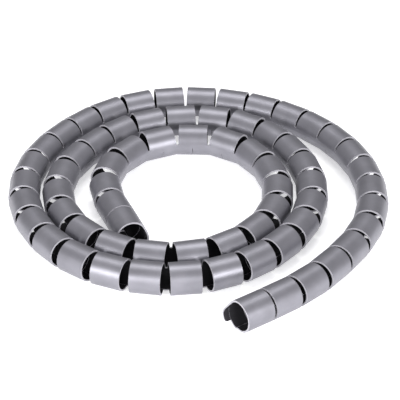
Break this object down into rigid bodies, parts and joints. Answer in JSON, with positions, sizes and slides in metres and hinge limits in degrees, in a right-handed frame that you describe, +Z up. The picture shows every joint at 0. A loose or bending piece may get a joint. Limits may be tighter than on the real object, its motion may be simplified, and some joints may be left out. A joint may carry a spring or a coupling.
{
  "type": "slotted cable wrap",
  "caption": "Slotted plastic cable wrap lying in a loose flat coil: rings hinged on a thin spine, a slit along the floor side, and an open mouth at both ends.",
  "frame": {"origin": "middle of the coil's box, on the floor", "axes": "+Z up, away from the floor; -Y toward the side that the picture was taken from, where the outer end's mouth lies"},
  "size_m": [0.2648, 0.2892, 0.0217],
  "materials": {
    "plastic": "satin extruded, silver grey"
  },
  "bodies": {
    "root": {"cable_wrap": "plastic"}
  },
  "joints": []
}
